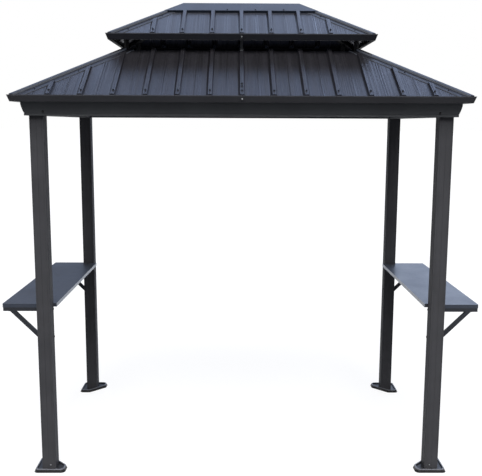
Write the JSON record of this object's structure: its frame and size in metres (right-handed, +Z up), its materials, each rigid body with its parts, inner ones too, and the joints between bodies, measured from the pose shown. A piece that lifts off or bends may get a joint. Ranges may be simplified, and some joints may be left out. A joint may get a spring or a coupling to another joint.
{
  "type": "grill gazebo",
  "caption": "Open metal gazebo with a two-tier hipped roof of ribbed sheet on four fluted posts, moulded beams, foot covers and a bracketed shelf at each end.",
  "frame": {"origin": "centre of the gazebo's bounding box, on the floor", "axes": "+Z up, +X to the right along the long side as seen from the front, +Y from the front to the back"},
  "size_m": [2.617, 1.51, 2.6275],
  "materials": {
    "post": "charcoal powder coat, fine texture",
    "beam": "charcoal powder coat",
    "trim": "charcoal powder coat, satin",
    "roof": "charcoal coated sheet steel, satin",
    "cap": "charcoal coated sheet steel, satin",
    "frame": "charcoal powder coat",
    "shelf": "charcoal powder coat, satin",
    "foot_cover": "dark moulded plastic"
  },
  "bodies": {
    "root": {"beam_back": "beam", "beam_front": "beam", "beam_left": "beam", "beam_right": "beam", "eave_trim_back": "trim", "eave_trim_front": "trim", "eave_trim_left": "trim", "eave_trim_right": "trim", "foot_cover_back_left": "foot_cover", "foot_cover_back_right": "foot_cover", "foot_cover_front_left": "foot_cover", "foot_cover_front_right": "foot_cover", "hip_cap_lower_back_left": "cap", "hip_cap_lower_back_right": "cap", "hip_cap_lower_front_left": "cap", "hip_cap_lower_front_right": "cap", "hip_cap_upper_back_left": "cap", "hip_cap_upper_back_right": "cap", "hip_cap_upper_front_left": "cap", "hip_cap_upper_front_right": "cap", "hip_rafter_back_left": "frame", "hip_rafter_back_right": "frame", "hip_rafter_front_left": "frame", "hip_rafter_front_right": "frame", "post_back_left": "post", "post_back_right": "post", "post_front_left": "post", "post_front_right": "post", "ridge_beam": "frame", "ridge_cap": "cap", "roof_lower_back": "roof", "roof_lower_front": "roof", "roof_lower_left": "roof", "roof_lower_right": "roof", "roof_upper_back": "roof", "roof_upper_front": "roof", "roof_upper_left": "roof", "roof_upper_right": "roof", "shelf_bracket_back_left": "frame", "shelf_bracket_back_right": "frame", "shelf_bracket_front_left": "frame", "shelf_bracket_front_right": "frame", "shelf_left": "shelf", "shelf_right": "shelf", "upper_trim_back": "trim", "upper_trim_front": "trim", "upper_trim_left": "trim", "upper_trim_right": "trim"}
  },
  "joints": []
}
